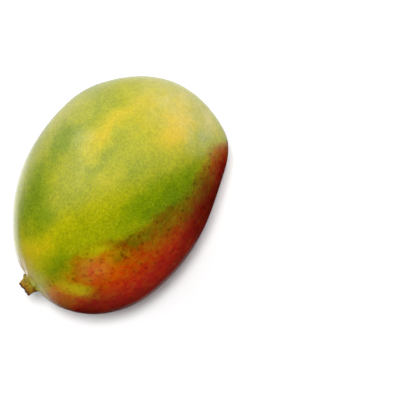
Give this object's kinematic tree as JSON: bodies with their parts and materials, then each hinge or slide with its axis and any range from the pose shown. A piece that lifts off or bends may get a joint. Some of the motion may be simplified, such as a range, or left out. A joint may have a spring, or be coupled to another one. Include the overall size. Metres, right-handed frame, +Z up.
{
  "type": "mango",
  "caption": "Ripening mango lying on one cheek: green and yellow skin with a red blush along the belly, a small beak near the tip, and a short cut stalk.",
  "frame": {"origin": "on the surface that the mango lies on, in the small flat spot of its lower cheek, straight below the middle of the fruit", "axes": "+X from the stalk end to the tip, +Y towards the fruit's back, so the belly and the beak are towards -Y, +Z up"},
  "size_m": [0.1248, 0.0917, 0.0814],
  "materials": {
    "skin": "waxy satin fruit skin, green to yellow, blushed orange and deep red along the belly, with fine pale and dark lenticels",
    "stalk": "matt green-brown stalk with a dark dried cut end"
  },
  "bodies": {
    "root": {"fruit": "skin", "stalk": "stalk"}
  },
  "joints": []
}
